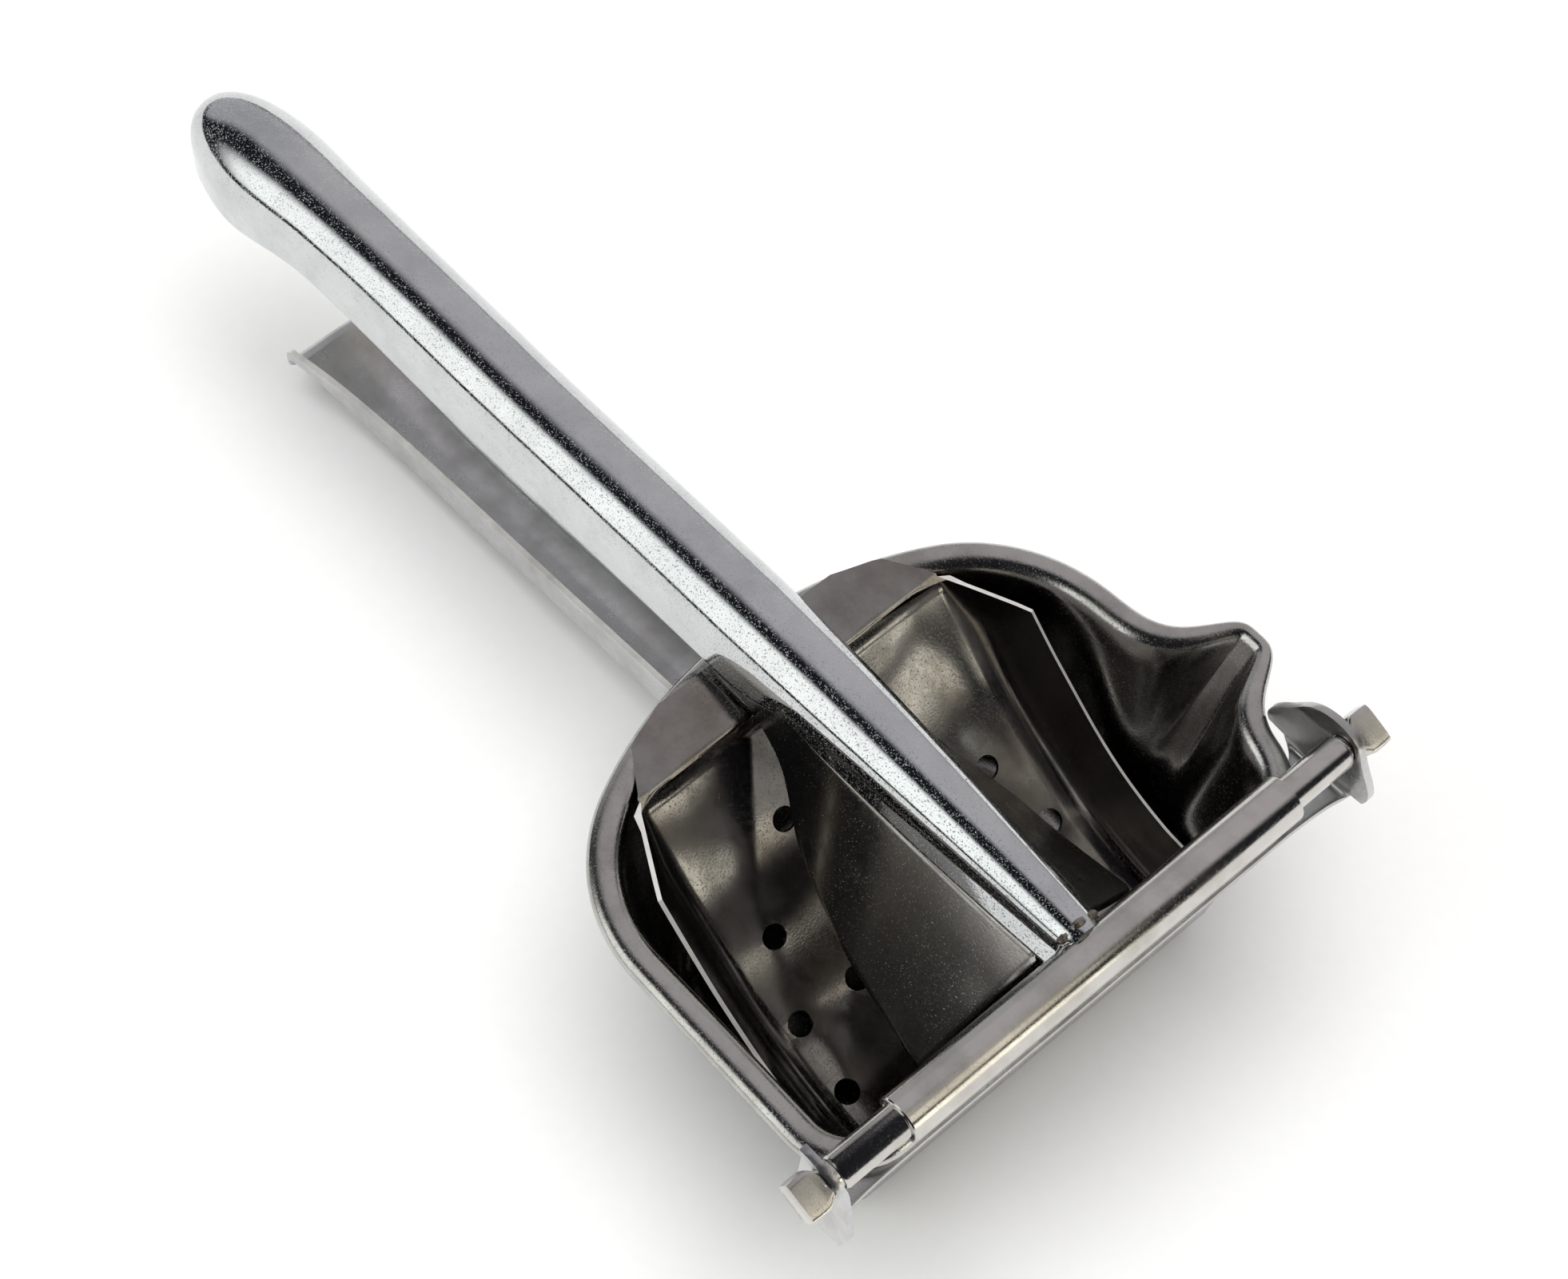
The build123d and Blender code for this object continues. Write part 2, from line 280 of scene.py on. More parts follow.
# Thin bright sheet with a faint brown film in patches.
FILTER = steel("bright_filter_304", "#969492", "#817e7a", 0.10, 0.20, 0.006, 0.010, 0.16,
               tint="#8a6a48", tint_amount=0.18)
# The same on thicker sheet, which is wavier where it was pressed to shape.
PLATE = steel("polished_plate_304", "#b4b2ae", "#98948e", 0.15, 0.26, 0.010, 0.012, 0.34,
              tint="#8a6a48", tint_amount=0.12)
# Pressed and left unpolished: light, and dull enough to blur what it reflects.
PRESSED = steel("pressed_304_sheet", "#c8c8c9", "#b5b4b4", 0.26, 0.38, 0.014, 0.010, 0.18,
                tint_amount=0.08)
# Pulled through a die: straight fine lines along the bar.
BAR = steel("bright_drawn_304_bar", "#cac7c3", "#b6b3ae", 0.14, 0.22, 0.008, 0.006, 0.03, brushed=0.002)
# Melted and frozen: lumpy, with straw and brown heat colours.
WELD = steel("fused_304_weld", "#9a938a", "#6f6459", 0.28, 0.45, 0.060, 0.030, 0.20,
             tint="#7a5a3c", tint_amount=0.7)
# A sheared edge is torn into tiny facets that face every way, so part of it is treated as matt.
SHEARED = steel("sheared_304_edge", "#f4f2ee", "#d8d5cf", 0.38, 0.50, 0.020, 0.020, 0.02, metal=0.45)
print("finishes:", [m.name for m in (POLISHED, DRAWN, FILTER, PLATE, PRESSED, BAR, WELD, SHEARED)])

# %% [markdown]
# ## The bowl
# A D-shaped cup drawn from one blank, with a wide satin rim rolled over and down, and a spout
# pushed out of one side. It could be a solid with a fillet, but the rim's roll and the way the
# spout dies into the wall read better as rings: each ring is the D outline at some inset and
# some drop, and the spout is a bump added to every ring that fades as the rings go down.

# %% The D outline
BOWL = {"half": 56.1, "front": 1.0, "rear": -91.3, "rear_r": 80.7, "corner_r": 34.0, "front_r": 14.0}
RIM_TOP = -12.0
DEPTH = 50.0
STOCK = 1.2
TAPER = math.tan(math.radians(9.0))


def arc(cx, cy, r, start, stop, count):
    """Points on an arc, angles in degrees from +X toward +Y, without the last one."""
    turn = [math.radians(mix(start, stop, i / count)) for i in range(count)]
    return [(cx + r * math.cos(a), cy + r * math.sin(a)) for a in turn]


def half_outline(inset):
    """The +Y half of the D, from the middle of the back to the middle of the front."""
    half = BOWL["half"] - inset
    back_r = BOWL["rear_r"] - inset
    corner = max(BOWL["corner_r"] - inset, 3.0)
    nose = max(BOWL["front_r"] - inset, 2.0)
    front = BOWL["front"] - inset
    cx = BOWL["rear"] + BOWL["rear_r"]
    cy = half - corner
    x0 = cx - math.sqrt((back_r - corner) ** 2 - cy ** 2)
    meet = 180 - math.degrees(math.atan2(cy, cx - x0))
    points = arc(cx, 0, back_r, 180, meet, 36)
    points += arc(x0, cy, corner, meet, 90, 36)
    points += [(mix(x0, front - nose, i / 84), half) for i in range(84)]
    points += arc(front - nose, half - nose, nose, 90, 0, 18)
    points += [(front, mix(half - nose, 0, i / 24)) for i in range(24)]
    return points


print("points in half an outline:", len(half_outline(0)))

# %% The spout's bump
SPOUT = {"x": -29.2, "reach": 14.2, "width": 8.7, "power": 3.6, "fall": 37.0}
FRONT_FULLER = 3.4      # how much less the front wall leans in than the others, at its foot
RIM_WIDTH = 6.2


def fuller(x, drop):
    """How far the front wall stands out at a drop below the rim."""
    return FRONT_FULLER * smooth((x + 26) / 20) * min(drop / 38, 1)


def outline(inset, drop):
    """The whole D at an inset, with the spout's bump for that drop below the rim."""
    plus = half_outline(inset)
    fade = max(1 - drop / SPOUT["fall"], 0.0)
    width = SPOUT["width"] * (0.6 + 0.4 * fade)
    reach = SPOUT["reach"] * fade ** 1.05
    rim = min(inset, RIM_WIDTH)
    power = SPOUT["power"]
    out = []
    for x, y in plus:
        side = smooth((y - 0.55 * BOWL["half"]) / (0.3 * BOWL["half"]))
        u = (x - SPOUT["x"]) / width
        share = 1 / (1 + abs(u) ** power)
        slope = -math.copysign(reach * share ** 2 * power * abs(u) ** (power - 1) / width, u)
        steep = math.hypot(1, slope)
        wide = rim * (1 - 0.42 * share)
        along_x = x + fuller(x, drop) + side * wide * fade * slope / steep
        out.append((along_x, y + side * (rim + reach * share - wide / steep)))
    minus = [(x + fuller(x, drop), -y) for x, y in reversed(plus[1:])]
    return out + minus


# %% Rings of the bowl
RIM_PROFILE = [(0.9, 3.35), (0.3, 2.7), (0.0, 1.9), (0.22, 1.1), (0.85, 0.45), (1.8, 0.1), (2.9, 0.0),
               (4.0, 0.14), (5.0, 0.6), (5.75, 1.4), (6.3, 2.6)]
WALL_TOP = 2.6          # drop at which the rim becomes the wall
WALL_INSET = 6.15
FLOOR_R = 8.0


def bowl_rows():
    rows = []
    for inset, drop in RIM_PROFILE:
        rows.append([at(x, y, RIM_TOP - drop) for x, y in outline(inset, 0.6 * drop)])
    floor = DEPTH - STOCK
    wall_end = floor - FLOOR_R
    for i in range(1, 21):
        drop = mix(WALL_TOP, wall_end, i / 20)
        rows.append([at(x, y, RIM_TOP - drop) for x, y in outline(WALL_INSET + drop * TAPER, drop)])
    low = WALL_INSET + wall_end * TAPER
    for i in range(1, 9):
        a = math.radians(90 * i / 8)
        drop = wall_end + FLOOR_R * math.sin(a)
        inset = low + FLOOR_R * (1 - math.cos(a))
        rows.append([at(x, y, RIM_TOP - drop) for x, y in outline(inset, drop)])
    middle = at(-46, 0, RIM_TOP - floor)
    last = rows[-1]
    for share in (0.75, 0.5, 0.25, 0.06):
        rows.append([middle.lerp(p, share) for p in last])
    return rows


bowl = sheet("bowl_shell", bowl_rows(), STOCK, ring=True, cap=True, side=1.0, edge=0.3)
finish_piece(bowl, "bowl_body", DRAWN, "drawn_satin_steel", "bowl")

# %% [markdown]
# ## The upper handle and the press plate
# The lever is one long ridge. Behind the bowl it is an inverted channel with a crease between
# its round top and its flat skirts, widened and closed like a spoon at the free end. Over the
# bowl the skirts give way to a plate that flares out like a saddle. Both are drawn by one
# section, so that the reflections run on from one to the other.

# %% One surface for the whole lever: x, half width, crown height, skirt depth
RIDGE = [(-249.8, 0.8, -12.2, 3.0), (-249.0, 3.6, -9.7, 6.6), (-246.8, 6.2, -7.1, 9.8),
         (-243.0, 8.5, -5.0, 12.4), (-238.5, 10.0, -3.6, 14.2), (-233.0, 11.1, -2.6, 15.5),
         (-227.0, 11.5, -1.8, 16.2), (-220.0, 11.1, -1.0, 15.6), (-213.0, 10.5, -0.4, 14.4),
         (-204.0, 10.0, 0.3, 13.5), (-188.0, 9.5, 1.2, 14.7), (-165.0, 9.4, 1.9, 15.4),
         (-150.0, 9.3, 2.3, 15.3), (-118.0, 9.1, 4.2, 14.6), (-88.0, 9.0, 6.0, 14.4),
         (-84.0, 8.9, 6.1, 14.8), (-60.0, 8.0, 6.6, 15.0), (-34.0, 6.4, 5.8, 15.0), (-3.0, 4.2, 3.9, 15.0)]
FOOT = [(-84.0, 9.2, -8.7), (-76.0, 9.3, -9.8), (-66.0, 10.8, -14.6), (-55.0, 16.2, -22.0),
        (-38.4, 21.3, -28.0), (-28.0, 23.2, -30.4), (-15.1, 25.2, -31.1)]
SEAM_END = 0.10         # share of the side that stays with the handle beside the plate


def lever_side(x, u):
    """The lever's side at x: u runs from the end of the round top (0) to the free edge (1)."""
    half, crown, depth = (along(RIDGE, x, column) for column in (1, 2, 3))
    edge = Vector((half + 0.3, crown - depth))
    if x > FOOT[0][0]:
        edge = Vector((along(FOOT, x, 1), along(FOOT, x, 2)))
    start = Vector((half, crown - half))
    reach = (edge - start).length
    hollow = Vector((-0.015, -0.01)) * reach * math.sin(math.pi * u) * smooth((x + 80) / 20)
    p = start.lerp(edge, u) + hollow
    return p.x, p.y


def seam(x):
    """The share of the side where the handle's sheet stops and the plate's begins."""
    return mix(1.0, SEAM_END, smooth((x - FOOT[0][0] + 0.5) / 18))


def stations(start, stop, step):
    """Even places from start to stop, about a step apart."""
    count = max(int(round(abs(stop - start) / step)), 1)
    return [mix(start, stop, i / count) for i in range(count + 1)]


print("half width of the foot at the hinge end:", FOOT[-1][1], "mm")

# %% The handle's channel, closed like a spoon at its free end
TUBE_CLEAR = 4.6        # radius kept free round the hinge for the tube
SPOON_END = -236.0


def coped(x, y, z):
    """A point of the lever, held back where the hinge tube is."""
    if abs(z) < TUBE_CLEAR:
        x = min(x, -math.sqrt(TUBE_CLEAR ** 2 - z ** 2))
    return at(x, y, z)


def handle_row(x):
    half, crown = along(RIDGE, x, 1), along(RIDGE, x, 2)
    turns = [math.radians(90 * i / 14) for i in range(15)]
    section = [(half * math.sin(a), crown - half * (1 - math.cos(a))) for a in turns]
    section += [lever_side(x, seam(x) * k / 8) for k in range(1, 9)]
    return [coped(x, -y, z) for y, z in reversed(section[1:])] + [coped(x, y, z) for y, z in section]


spoon_length = SPOON_END - RIDGE[0][0]
spoon = [SPOON_END - spoon_length * math.cos(math.radians(90 * i / 18)) for i in range(18)]
handle_rows = [handle_row(x) for x in spoon + stations(SPOON_END, RIDGE[-1][0], 2.0)]
tip = [at(-250.0, 0, -13.8)] * len(handle_rows[0])
handle = sheet("upper_handle_channel", [tip] + handle_rows, STOCK, side=1.0, edge=0.12)
finish_piece(handle, "lever", POLISHED, "polished_steel", "upper_handle")


# %% The press plate's two wings, each with a narrow lip along its front edge
WING_LEAN = 7.2         # how far forward the ridge end of the front edge lies
WING_LIP = ((0.7, 0.1), (1.2, 0.5), (1.45, 1.1), (1.5, 1.8))


def wing_row(x, side):
    lean = WING_LEAN * smooth((x + 50) / 35)
    row = []
    for k in range(25):
        u = mix(seam(x), 1.0, k / 24)
        along_x = x + lean * (1 - u)
        y, z = lever_side(along_x, u)
        row.append(at(along_x, side * y, z))
    return row


def wing_rows(side):
    rows = [wing_row(x, side) for x in stations(-83.4, -15.1, 1.5)]
    return rows + lip(rows[-1], WING_LIP)


for side, word in ((1.0, "spout"), (-1.0, "plain")):
    wing = sheet(f"press_plate_{word}_wing", wing_rows(side), STOCK, side=side, edge=0.12)
    finish_piece(wing, "lever", PLATE, "polished_steel", "press_plate")

# %% [markdown]
# ## The lower handle
# A shallow channel, open side up, whose last stretch opens and bends up into a lip. Again it is
# a grid of sections; the corners of the section are rounded, since sheet can't fold sharply.

# %% Lower handle: x, half width, rim height, depth
LOWER = [(-212.8, 12.3, -46.1, 5.0), (-207.0, 10.8, -47.4, 6.8), (-198.0, 9.2, -48.6, 9.0),
         (-180.0, 8.2, -47.6, 10.6), (-133.0, 8.0, -42.0, 11.0), (-84.5, 8.0, -35.4, 11.5)]
LOWER_LIP = ((-0.9, 0.2), (-1.7, 0.8), (-2.3, 1.7), (-2.5, 2.8))
TROUGH_BEND = 4.0       # radius between the floor and a wall, less where the trough is shallow


def trough_section(x):
    half, rim, depth = (along(LOWER, x, column) for column in (1, 2, 3))
    bend = min(TROUGH_BEND, 0.6 * depth)
    turns = [math.radians(90 * i / 8) for i in range(9)]
    points = [(half - bend + bend * math.sin(a), rim - depth + bend * (1 - math.cos(a))) for a in turns]
    floor = [((half - bend) * i / 5, rim - depth + 0.25 * (1 - i / 5)) for i in range(5)]
    wall = [(half, mix(rim - depth + bend, rim, i / 4)) for i in range(1, 5)]
    return floor + points + wall


def both_sides(section, x):
    left = [at(x, -y, z) for y, z in reversed(section[1:])]
    return left + [at(x, y, z) for y, z in section]


lower_rows = [both_sides(trough_section(x), x) for x in stations(LOWER[0][0], LOWER[-1][0], 2.0)]
lower_rows = lip(lower_rows[0], LOWER_LIP)[::-1] + lower_rows
lower = sheet("lower_handle_channel", lower_rows, STOCK, side=-1.0, edge=0.3, sheared=True)
finish_piece(lower, "bowl_body", PRESSED, "pressed_steel", "lower_handle")

# %% [markdown]
# ## The filter basket
# One perforated sheet: a flange that hangs on the bowl's back rim, a sharp fold, a floor that
# curves down toward the hinge, and a leaning flap along each side. Thin sheet dents, so the
# grid's points are pushed about by a slow noise before the sheet gets its thickness. The drain
# holes are punched: round cutters taken away from the sheet.

# %% Basket: flange, fold, floor and flaps in one sheet
BASKET = {"half": 37.0, "out": 6.0, "up": 11.0, "stock": 0.8, "fold": -75.7, "flange": 34.5, "bend": 3.4}
FLOOR_LINE = [(-75.7, -12.4), (-63.0, -26.6), (-50.5, -38.9), (-38.0, -48.2), (-25.0, -53.4), (-15.5, -55.0)]
FLANGE_EDGE = [(-87.8, 20.0), (-84.6, 29.0), (-75.7, 34.5)]
DENT_DEPTH, DENT_SIZE = 0.4 * MM, MM / 0.07
FOLD = [(-76.3, -11.22), (-75.7, -11.38), (-75.2, -11.85)]


def dent(p):
    """A slow push along Z, a few tenths of a millimetre at most."""
    return p + Vector((0, 0, DENT_DEPTH * noise.noise(p / DENT_SIZE)))


def basket_half():
    """Half of the section, from the middle out: (y, height above the floor)."""
    half, bend = BASKET["half"], BASKET["bend"]
    lean = BASKET["out"] / BASKET["up"]
    points = [((half - bend) * k / 18, 0.0) for k in range(19)]
    for k in range(1, 7):
        t = k / 6
        points.append((half - bend * (1 - t) ** 2 + lean * bend * t ** 2, bend * t ** 2))
    for k in range(1, 9):
        rise = mix(bend, BASKET["up"], k / 8)
        points.append((half + lean * rise, rise))
    return points


SECTION = basket_half()


def basket_row(x):
    z = along(FLOOR_LINE, x, 1)
    slope = along(FLOOR_LINE, x + 0.5, 1) - along(FLOOR_LINE, x - 0.5, 1)
    length = math.hypot(1, slope)
    grow = min((x - BASKET["fold"] + 0.2) / 8.0, 1.0)
    half = []
    for k, (y, rise) in enumerate(SECTION):
        flat = min(y, BASKET["flange"]) if k < 19 else BASKET["flange"]
        high = min(z + grow * rise / length, RIM_TOP - 0.5)
        half.append((x - grow * rise * slope / length, mix(flat, y, grow), high))
    return [dent(at(px, -py, pz)) for px, py, pz in reversed(half[1:])] + [dent(at(*p)) for p in half]


def flange_half(x):
    """Half width of the flange, narrowing by straight snips to its back edge."""
    for (xa, ya), (xb, yb) in zip(FLANGE_EDGE, FLANGE_EDGE[1:]):
        if x <= xb:
            return mix(ya, yb, (x - xa) / (xb - xa))
    return BASKET["flange"]


def flat_row(x, z):
    half = flange_half(x)
    ys = [half * k / (len(SECTION) - 1) for k in range(len(SECTION))]
    return [dent(at(x, -y, z)) for y in reversed(ys[1:])] + [dent(at(x, y, z)) for y in ys]


basket_rows = [flat_row(x, RIM_TOP + BASKET["stock"]) for x in stations(-87.8, -77.0, 0.9)]
basket_rows += [flat_row(x, z) for x, z in FOLD]
basket_rows += [basket_row(x) for x in stations(-74.8, -15.5, 1.4)]
basket = sheet("filter_basket_sheet", basket_rows, BASKET["stock"], side=1.0, edge=0, sheared=True)
print("basket grid:", len(basket_rows), "by", len(basket_rows[0]))

# %% Punch the drain holes
HOLE_R = 2.4
ROUND = 28              # flats round a cutter
HOLE_ROWS = [(-62.5, (-13.0, 13.0)), (-50.5, (-25.7, -8.6, 8.6, 25.7)),
             (-38.0, (-30.6, -17.0, 0.0, 17.0, 30.6)), (-24.5, (-31.4, -15.7, 0.0, 15.7, 31.4))]


def cutter(name, centre, direction, r, length):
    """A round cutter along a direction."""
    spin = Vector(direction).normalized().to_track_quat("Z", "Y")
    ends = []
    for end in (-0.5, 0.5):
        ring = [Vector((r * MM * math.cos(a), r * MM * math.sin(a), end * length * MM))
                for a in (math.tau * i / ROUND for i in range(ROUND))]
        ends.append([centre + spin @ p for p in ring])
    points, faces = grid(ends, ring=True)
    faces += [tuple(reversed(range(ROUND))), tuple(range(ROUND, 2 * ROUND))]
    return new_piece(name, points, faces)


def punch(piece, cutters):
    """Takes the cutters away from the piece."""
    for tool in cutters:
        cut = piece.modifiers.new("punch", "BOOLEAN")
        cut.object = tool
        cut.solver = "EXACT"
    freeze(piece)
    for tool in cutters:
        bpy.data.objects.remove(tool)


punches = []
for x, places in HOLE_ROWS:
    slope = along(FLOOR_LINE, x + 0.5, 1) - along(FLOOR_LINE, x - 0.5, 1)
    for y in places:
        punches.append(cutter("punch", at(x, y, along(FLOOR_LINE, x, 1)), (-slope, 0, 1), HOLE_R, 9))
punch(basket, punches)
finish_piece(basket, "bowl_body", FILTER, "filter_steel", "filter_basket")
print("holes punched:", len(punches))


# %% [markdown]
# ## Hinge
# A rolled tube with a wall that shows at its ends turns on a bright bar. Beyond the ears the
# bar is hammered flat, so that it can't slip out. Round pieces are turned on a lathe: a
# profile spun about Y.

# %% Lathe about the hinge axis
def lathe(name, profile, body, *nodes, segments=72):
    """Spins (y, radius) pairs about the hinge axis."""
    turns = [math.tau * i / segments for i in range(segments)]
    rows = [[at(r * math.cos(a), y, r * math.sin(a)) for a in turns] for y, r in profile]
    piece = freeze(new_piece(name, *grid(rows, ring=True)))
    finish_piece(piece, body, BAR, "turned_steel", *nodes)


SLEEVE_HALF = 43.7
EASE = 0.35             # the rounding of the tube's ends
tube = [(-SLEEVE_HALF + EASE, 4.5), (SLEEVE_HALF - EASE, 4.5), (SLEEVE_HALF - 0.1, 4.38), (SLEEVE_HALF, 4.15),
        (SLEEVE_HALF, 3.6), (SLEEVE_HALF - 0.3, 3.3), (-SLEEVE_HALF + 0.3, 3.3), (-SLEEVE_HALF, 3.6),
        (-SLEEVE_HALF, 4.15), (-SLEEVE_HALF + 0.1, 4.38)]
lathe("hinge_sleeve_tube", tube + tube[:1], "lever", "hinge_sleeve")

ROD_END = 57.4          # the bar is full size to here, and a neck beyond
NECK_END = 60.2
rod = [(-NECK_END, 0.01), (-NECK_END, 2.5), (-ROD_END + 0.25, 2.5), (-ROD_END + 0.3, 2.95),
       (-ROD_END + 0.9, 3.25), (ROD_END - 0.9, 3.25), (ROD_END - 0.3, 2.95), (ROD_END - 0.25, 2.5),
       (NECK_END, 2.5), (NECK_END, 0.01)]
lathe("hinge_pin_rod", rod, "pin", "hinge_pin")


# %% Hammered heads of the pin
HEAD_TURN = math.radians(-24)
HEAD_CORNER = 0.30      # the lower, the squarer the block
HEAD_RING = 40
HEAD_ENDS = (59.6, 65.0)


def head(side, name):
    """A block with bulged sides: the bar's end squeezed between two dies."""
    rows = []
    cos, sin = math.cos(HEAD_TURN), math.sin(HEAD_TURN)
    for k in range(9):
        share = k / 8
        y = side * mix(*HEAD_ENDS, share)
        swell = smooth(min(share * 3, 1)) * (1 - 0.10 * smooth((share - 0.75) * 4))
        wide = mix(2.6, 3.9, swell)
        thick = mix(2.5, 2.4, swell)
        ring = []
        for i in range(HEAD_RING):
            a = math.tau * i / HEAD_RING
            c, s = math.cos(a), math.sin(a)
            px = wide * math.copysign(abs(c) ** HEAD_CORNER, c)
            pz = thick * math.copysign(abs(s) ** HEAD_CORNER, s)
            ring.append(at(px * cos - pz * sin, y, px * sin + pz * cos))
        rows.append(ring)
    centre = sum(rows[-1], Vector()) / HEAD_RING
    proud = Vector((0, side * 0.25 * MM, 0))
    crown = [[centre.lerp(p, share) + proud for p in rows[-1]] for share in (0.86, 0.4)]
    points, faces = grid(rows + crown, ring=True, cap=True)
    faces.append(tuple(reversed(range(HEAD_RING))))
    piece = freeze(new_piece(name, points, faces))
    finish_piece(piece, "pin", BAR, "turned_steel", "hinge_pin")


head(1, "hinge_pin_head_spout_side")
head(-1, "hinge_pin_head_plain_side")

# %% [markdown]
# ## Hinge bracket
# One strap runs under the rim at the front. At each side it widens and turns up into an ear
# that holds the pin. A ribbon is simplest: walk along the strap from the top of one ear to the
# top of the other, and at each step give the ribbon its back and front edge.

# %% Ribbon of the bracket
EAR = {"out": 59.2, "stock": 1.5, "bend": 3.2}
EAR_LEAN = math.tan(math.radians(7))
BORE_R = 2.75
STRAP_LOW = RIM_TOP - 5.3
STRAP_EDGES = [(0.0, -4.4, 1.2), (46.0, -4.4, 1.2), (51.0, -5.4, 1.4), (54.5, -8.0, 1.8), (57.0, -10.6, 2.4),
               (59.2, -12.8, 3.2)]
EAR_EDGES = [(-17.3, -12.8, 3.2), (-15.6, -15.4, 4.8), (-13.4, -16.8, 6.0), (-11.0, -16.9, 6.7),
             (-8.6, -16.0, 6.7), (-5.8, -14.4, 6.1), (-2.8, -12.4, 5.1), (0.0, -10.7, 4.2),
             (2.2, -8.8, 3.0), (3.4, -7.0, 1.6), (4.1, -5.2, 0.0), (4.4, -3.4, -1.4)]
PLAIN_EAR_BACK = -5.6   # the ear away from the spout is narrower


def bracket_path():
    """Half of the way, from the middle of the strap to the ear's top, as (y, z)."""
    outside, bend = EAR["out"], EAR["bend"]
    way = [(y, STRAP_LOW) for y in stations(0, outside - bend, 1.6)]
    for a in (math.radians(degrees) for degrees in range(10, 90, 10)):
        way.append((outside - bend + bend * math.sin(a), STRAP_LOW + bend * (1 - math.cos(a))))
    way += [(outside, z) for z in stations(STRAP_LOW + bend, 2.2, 0.9)]
    return way + [(outside, z) for z in stations(2.4, 4.4, 0.2)]


def bracket_row(y, z):
    """The ribbon across, from its back edge to its front edge; the ears lean out."""
    on_ear = z >= STRAP_LOW + EAR["bend"] - 0.1
    table, place = (EAR_EDGES, z) if on_ear else (STRAP_EDGES, abs(y))
    back, front = along(table, place, 1), along(table, place, 2)
    if y < 0:
        back = max(back, PLAIN_EAR_BACK)
    lean = EAR_LEAN * z * smooth((abs(y) - 48) / 11)
    return [at(mix(back, front, k / 14), y + math.copysign(lean, y), z) for k in range(15)]


def bracket_rows():
    half = bracket_path()
    whole = [(-y, z) for y, z in reversed(half[1:])] + half
    return [bracket_row(y, z) for y, z in whole]


bracket = sheet("hinge_bracket_strap", bracket_rows(), EAR["stock"], side=1.0, edge=0.25)
punch(bracket, [cutter("bore", at(0, 0, 0), (0, 1, 0), BORE_R, 140)])
finish_piece(bracket, "bowl_body", PRESSED, "pressed_steel", "hinge_bracket")


# %% [markdown]
# ## Welds
# Fused beads: small lumps with heat tint on them. Each bead is a flattened ball pushed
# about by noise, and the beads of one joint are one piece.

# %% Beads
BEAD_RING = 18
LUMP = 0.28             # how uneven a bead is, as a share of its size


def beads(name, centres, size, body, *nodes):
    """Uneven balls of half sizes in millimetres about each centre, as one piece."""
    points, faces = [], []
    for centre in centres:
        start = len(points)
        rows = []
        for i in range(9):
            lat = math.radians(mix(-88, 88, i / 8))
            ring = []
            for k in range(BEAD_RING):
                lon = math.tau * k / BEAD_RING
                p = Vector((math.cos(lat) * math.cos(lon), math.cos(lat) * math.sin(lon), math.sin(lat)))
                lump = 1 + LUMP * noise.noise(p * 2.1 + centre * 900)
                ring.append(centre + Vector([v * half for v, half in zip(p, size)]) * lump * MM)
            rows.append(ring)
        more, quads = grid(rows, ring=True, cap=True)
        quads.append(tuple(reversed(range(BEAD_RING))))
        points += more
        faces += [tuple(start + v for v in face) for face in quads]
    piece = freeze(new_piece(name, points, faces))
    finish_piece(piece, body, WELD, "weld_steel", *nodes)


sleeve_spots = [at(-4.9, y, z) for y, z in ((-2.9, 2.6), (0.0, 3.9), (2.9, 2.6))]
strap_spots = [at(-4.6, y, STRAP_LOW) for y in (-36, -18, 0, 18, 36)]
tab_spots = [at(-83.0, side * 8.6, z) for side in (1, -1) for z in (-38, -41, -44)]
beads("sleeve_weld_beads", sleeve_spots, (0.8, 1.5, 0.8), "lever", "sleeve_welds")
beads("bracket_weld_spots", strap_spots, (0.9, 1.6, 1.3), "bowl_body", "bracket_welds")
beads("handle_weld_beads", tab_spots, (1.2, 1.2, 1.8), "bowl_body", "handle_welds")

# %% [markdown]
# ## Floor, light and camera
# Bright metal shows its room, so the room is designed first. It is dark, with a large grey flat
# on the far side, a bright softbox on the near side, and two strips beyond the hinge that draw
# the long highlights on the tube. A low dark skirting on the near side draws the line between
# the handle's round top and its skirt. The room is painted on the world by direction.

# %% Pale floor
def matt_floor():
    material = bpy.data.materials.new("matt_paper_sweep")
    material.use_nodes = True
    tree = material.node_tree
    shader = tree.nodes["Principled BSDF"]
    shader.inputs["Roughness"].default_value = 0.9
    shader.inputs["Specular IOR Level"].default_value = 0.1
    place = node(tree, "ShaderNodeTexCoord").outputs["Object"]
    fibre = node(tree, "ShaderNodeTexNoise", {"Scale": 1 / (3 * MM), "Detail": 4.0}, {"Vector": place})
    tone = node(tree, "ShaderNodeMix", {"data_type": "RGBA", 6: linear("#f3f3f2"), 7: linear("#f7f7f6")},
                {"Factor": fibre.outputs["Fac"]})
    tree.links.new(tone.outputs[2], shader.inputs["Base Color"])
    return material


FLOOR_REACH = 4.0
FLOOR_Z = -0.0002       # just under the bowl
ends = (-FLOOR_REACH, FLOOR_REACH)
floor = new_piece("studio_floor", *grid([[Vector((x, y, FLOOR_Z)) for y in ends] for x in ends]))
floor.data.materials.append(matt_floor())
print("floor", 2 * FLOOR_REACH, "m across")


# %% The studio room as a world
def lobe(tree, direction, toward, inner, outer):
    """1 inside a cone of inner degrees about a direction, 0 outside outer degrees."""
    aim = Vector(toward).normalized()
    facing = node(tree, "ShaderNodeVectorMath", {"operation": "DOT_PRODUCT", 1: aim}, {0: direction})
    made = node(tree, "ShaderNodeMapRange", {"interpolation_type": "SMOOTHSTEP",
                                            "From Min": math.cos(math.radians(outer)),
                                            "From Max": math.cos(math.radians(inner))},
                {"Value": facing.outputs["Value"]})
    return made.outputs["Result"]


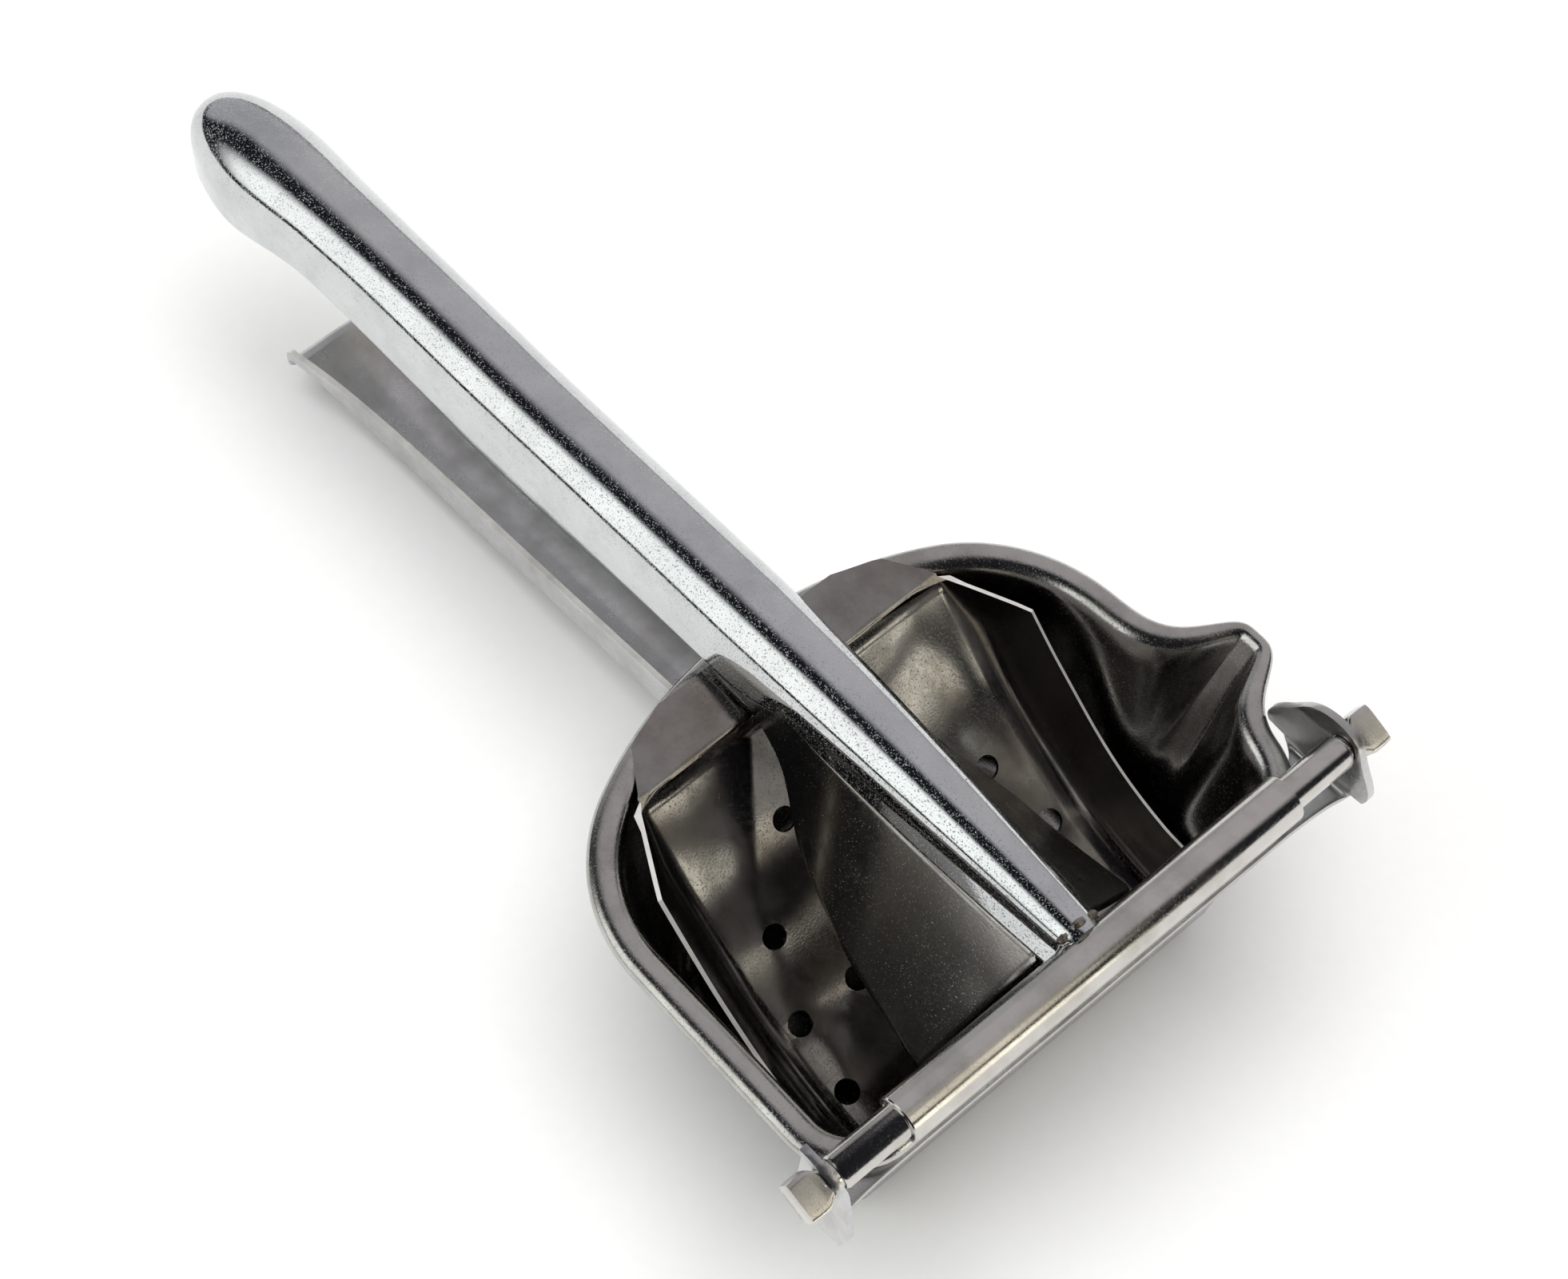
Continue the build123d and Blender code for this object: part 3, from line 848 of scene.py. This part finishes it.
world = bpy.data.worlds.new("soft_studio")
bpy.context.scene.world = world
world.use_nodes = True
sky = world.node_tree
sky.nodes.clear()
look = node(sky, "ShaderNodeTexCoord").outputs["Generated"]
base = node(sky, "ShaderNodeRGB")
base.outputs[0].default_value = linear("#1d1f24")
tone = base.outputs[0]
# direction, full inside these degrees, gone outside these, colour, strength
PANELS = [
    ((-0.32, 0.68, 0.66), 33, 52, "#c4c1c4", 0.98),     # large grey flat, far side, fading upward
    ((-0.93, 0.25, 0.25), 20, 30, "#b4b4b7", 1.0),      # grey card behind the handles
    ((-0.38, -0.80, 0.44), 19, 33, "#f8fbf8", 1.55),    # bright softbox, near side
    ((0.42, 0.33, 0.85), 9, 17, "#bfbcb6", 1.0),        # card overhead
    ((0.69, 0.33, 0.64), 8, 16, "#fff8e6", 1.1),        # softbox beyond the hinge, upper strip
    ((0.94, 0.33, 0.08), 10, 16, "#fffbea", 2.0),       # and its lower strip
]
for toward, inner, outer, code, strength in PANELS:
    lit = [v * strength for v in linear(code)[:3]] + [1.0]
    share = lobe(sky, look, toward, inner, outer)
    tone = node(sky, "ShaderNodeMix", {"data_type": "RGBA", 7: lit}, {"Factor": share, 6: tone}).outputs[2]
height = node(sky, "ShaderNodeSeparateXYZ", {}, {"Vector": look}).outputs["Z"]
low = node(sky, "ShaderNodeMapRange", {"From Min": 0.10, "From Max": 0.075}, {"Value": height})
near = lobe(sky, look, (-0.38, -0.9, 0.0), 60, 80)
skirting = node(sky, "ShaderNodeMath", {"operation": "MULTIPLY"},
                {0: low.outputs["Result"], 1: near}).outputs["Value"]
tone = node(sky, "ShaderNodeMix", {"data_type": "RGBA", 7: linear("#1b1d21")},
            {"Factor": skirting, 6: tone}).outputs[2]
shown = node(sky, "ShaderNodeBackground", {"Strength": 1.0}, {"Color": tone})
node(sky, "ShaderNodeOutputWorld", {}, {"Surface": shown.outputs[0]})
print("panels in the room:", len(PANELS))

# %% Overhead fill that only lights the floor
fill = bpy.data.objects.new("overhead_fill", bpy.data.lights.new("overhead_fill", "SUN"))
fill.data.energy = 2.6
fill.data.angle = math.radians(60)
fill.visible_glossy = False
bpy.context.scene.collection.objects.link(fill)

# %% Camera
AZIMUTH, ELEVATION, DISTANCE = math.radians(48.85), math.radians(59.74), 0.537
AIM = at(-78.2, 0.7, 0)
LENS = 71.56
back = Vector((math.sin(AZIMUTH) * math.cos(ELEVATION), -math.cos(AZIMUTH) * math.cos(ELEVATION),
               math.sin(ELEVATION)))
camera = bpy.data.objects.new("camera", bpy.data.cameras.new("camera"))
camera.data.sensor_width = 36.0
camera.data.lens = LENS
camera.location = AIM + back * DISTANCE
camera.rotation_euler = (-back).to_track_quat("-Z", "Y").to_euler()
camera.data.clip_start = 0.01
bpy.context.scene.collection.objects.link(camera)
bpy.context.scene.camera = camera
bpy.context.scene.view_settings.view_transform = "Standard"
print("camera", [round(v, 3) for v in camera.location], "lens", LENS, "mm")
